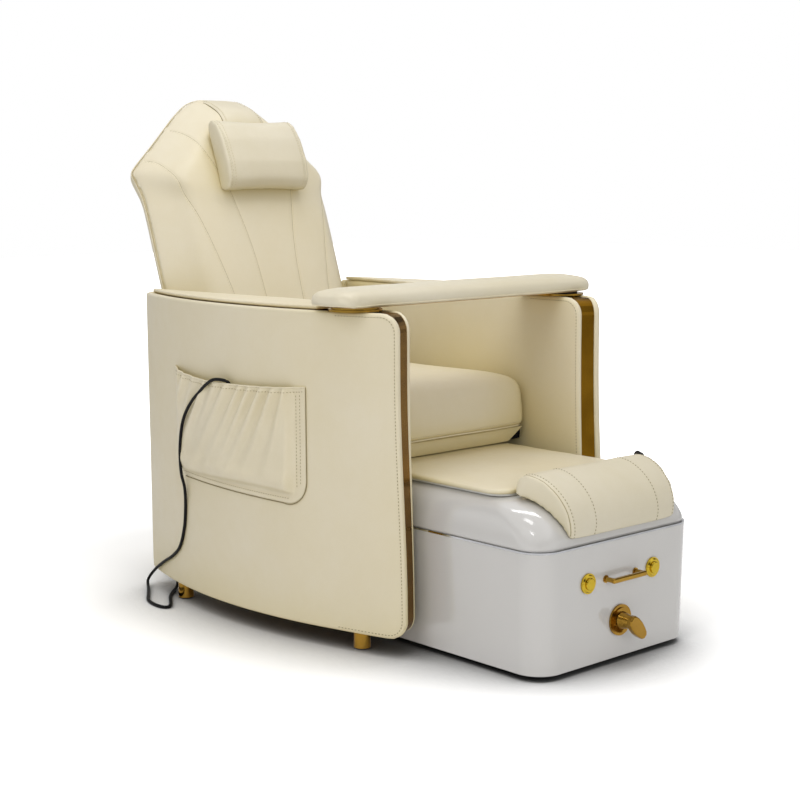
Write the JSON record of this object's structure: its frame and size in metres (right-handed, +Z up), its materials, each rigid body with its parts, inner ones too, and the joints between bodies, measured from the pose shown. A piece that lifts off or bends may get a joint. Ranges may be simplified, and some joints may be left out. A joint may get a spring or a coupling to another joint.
{
  "type": "pedicure spa chair",
  "caption": "Upholstered salon chair with curved side panels, a swinging padded arm bar, a reclining wing backrest with head pillow, and a pull-out glossy foot basin.",
  "frame": {"origin": "bottom centre of the bounding box, on the floor", "axes": "+X to the sitter's left, +Y from the foot basin to the backrest, +Z up"},
  "size_m": [0.7894, 1.3822, 1.1302],
  "materials": {
    "leather": "fine-grained upholstery leather, satin",
    "board": "raw plywood",
    "cover_sheet": "moulded sheet",
    "bronze_trim": "brushed dark bronze",
    "gold": "polished",
    "glide": "moulded",
    "felt": "pressed felt",
    "frame_steel": "black powder coat",
    "pin_steel": "turned",
    "motor_plastic": "moulded",
    "basin_shell": "polished gel coat",
    "chrome": "polished",
    "pipe_plastic": "moulded",
    "roller_rubber": "moulded",
    "cord": "smooth sheath",
    "handset": "satin",
    "handset_key": "soft key"
  },
  "bodies": {
    "base": {"panel_outer_boards": "leather", "panel_inner_boards": "leather", "panel_cores": "board", "trim_strips": "bronze_trim", "top_rails": "leather", "feet": "gold", "foot_glides": "glide", "arm_pivot_base": "gold", "arm_landing_plate": "gold", "arm_landing_wear_pad": "felt", "seat_frame": "frame_steel", "seat_board": "board", "seat_cushion": "leather", "seat_flap": "leather", "rear_cover": "leather", "control_box": "motor_plastic", "actuator_body": "motor_plastic", "actuator_fixed_pin": "pin_steel", "side_pocket": "leather", "handset_cord": "cord", "back_hinge_pins": "pin_steel"},
    "arm": {"arm_pivot_disc": "gold", "arm_board": "board", "arm_pad": "leather"},
    "back": {"back_cushion": "leather", "back_board": "board", "back_shell": "leather", "back_frame": "frame_steel", "head_strap": "leather"},
    "headrest": {"head_pillow": "leather"},
    "rod": {"actuator_rod": "pin_steel", "actuator_rod_pin": "pin_steel"},
    "basin": {"basin_body": "basin_shell", "basin_seam_trim": "chrome", "basin_top": "basin_shell", "tub_bowl": "basin_shell", "tub_jets": "chrome", "drain_fitting": "pipe_plastic", "drain_escutcheon": "gold", "button_bezels": "gold", "pull_handle": "gold", "handle_screws": "pin_steel", "basin_chassis": "motor_plastic", "roller_axles": "pin_steel", "jet_pump": "motor_plastic", "calf_pad": "leather", "spray_holder": "chrome"},
    "rollers_f": {"rollers_front": "roller_rubber"},
    "rollers_r": {"rollers_rear": "roller_rubber"},
    "cover": {"cover_board": "cover_sheet", "cover_pad": "leather"},
    "near_button": {"button_near": "gold"},
    "far_button": {"button_far": "gold"},
    "knob": {"drain_knob": "gold"},
    "plug": {"drain_plug": "chrome"},
    "spray": {"hand_spray": "chrome", "hand_spray_head": "chrome"},
    "handset": {"handset": "handset"},
    "key_up": {"handset_button_up": "handset_key"},
    "key_down": {"handset_button_down": "handset_key"}
  },
  "joints": [
    {"name": "back_recline", "type": "hinge", "parent": "base", "child": "back", "pos_m": [0.00981, 0.3782, 0.47221], "axis": [-1, 0, 0], "range_deg": [-10, 30]},
    {"name": "actuator_extend", "type": "slide", "parent": "base", "child": "rod", "axis": [0, 1, 0], "range_m": [-0.0545, 0.0185]},
    {"name": "headrest_slide", "type": "slide", "parent": "back", "child": "headrest", "axis": [0, 0.3305, 0.9438], "range_m": [-0.06, 0.04]},
    {"name": "arm_swing", "type": "hinge", "parent": "base", "child": "arm", "pos_m": [-0.28819, -0.21421, 0.688], "axis": [0, 0, 1], "range_deg": [-100, 0]},
    {"name": "basin_slide", "type": "slide", "parent": "base", "child": "basin", "axis": [0, 1, 0], "range_m": [0, 0.15]},
    {"name": "front_roller_spin", "type": "hinge", "parent": "basin", "child": "rollers_f", "pos_m": [0.00981, -0.57721, 0.014], "axis": [-1, 0, 0], "range_deg": [0, 614]},
    {"name": "rear_roller_spin", "type": "hinge", "parent": "basin", "child": "rollers_r", "pos_m": [0.00981, -0.07721, 0.014], "axis": [-1, 0, 0], "range_deg": [0, 614]},
    {"name": "cover_slide", "type": "slide", "parent": "basin", "child": "cover", "axis": [0, 1, 0], "range_m": [0, 0.22]},
    {"name": "button_near_push", "type": "slide", "parent": "basin", "child": "near_button", "axis": [0, 1, 0], "range_m": [0, 0.003]},
    {"name": "button_far_push", "type": "slide", "parent": "basin", "child": "far_button", "axis": [0, 1, 0], "range_m": [0, 0.003]},
    {"name": "drain_knob_turn", "type": "hinge", "parent": "basin", "child": "knob", "pos_m": [0.00981, -0.64921, 0.087], "axis": [0, 1, 0], "range_deg": [0, 90]},
    {"name": "drain_plug_lift", "type": "slide", "parent": "basin", "child": "plug", "axis": [0, 0, 1], "range_m": [0, 0.0081]},
    {"name": "spray_lift", "type": "slide", "parent": "basin", "child": "spray", "axis": [0, 0, 1], "range_m": [0, 0.15]},
    {"name": "handset_lift", "type": "slide", "parent": "base", "child": "handset", "axis": [0, 0, 1], "range_m": [0, 0.12]},
    {"name": "handset_up_push", "type": "slide", "parent": "handset", "child": "key_up", "axis": [0.9997, -0.0261, 0], "range_m": [0, 0.0012]},
    {"name": "handset_down_push", "type": "slide", "parent": "handset", "child": "key_down", "axis": [0.9997, -0.0261, 0], "range_m": [0, 0.0012]}
  ],
  "couplings": [
    {"joint": "actuator_extend", "follows": "back_recline", "m_per_rad": -0.10256},
    {"joint": "front_roller_spin", "follows": "basin_slide", "rad_per_m": 71.429},
    {"joint": "rear_roller_spin", "follows": "basin_slide", "rad_per_m": 71.429},
    {"joint": "drain_plug_lift", "follows": "drain_knob_turn", "m_per_rad": 0.005093}
  ]
}
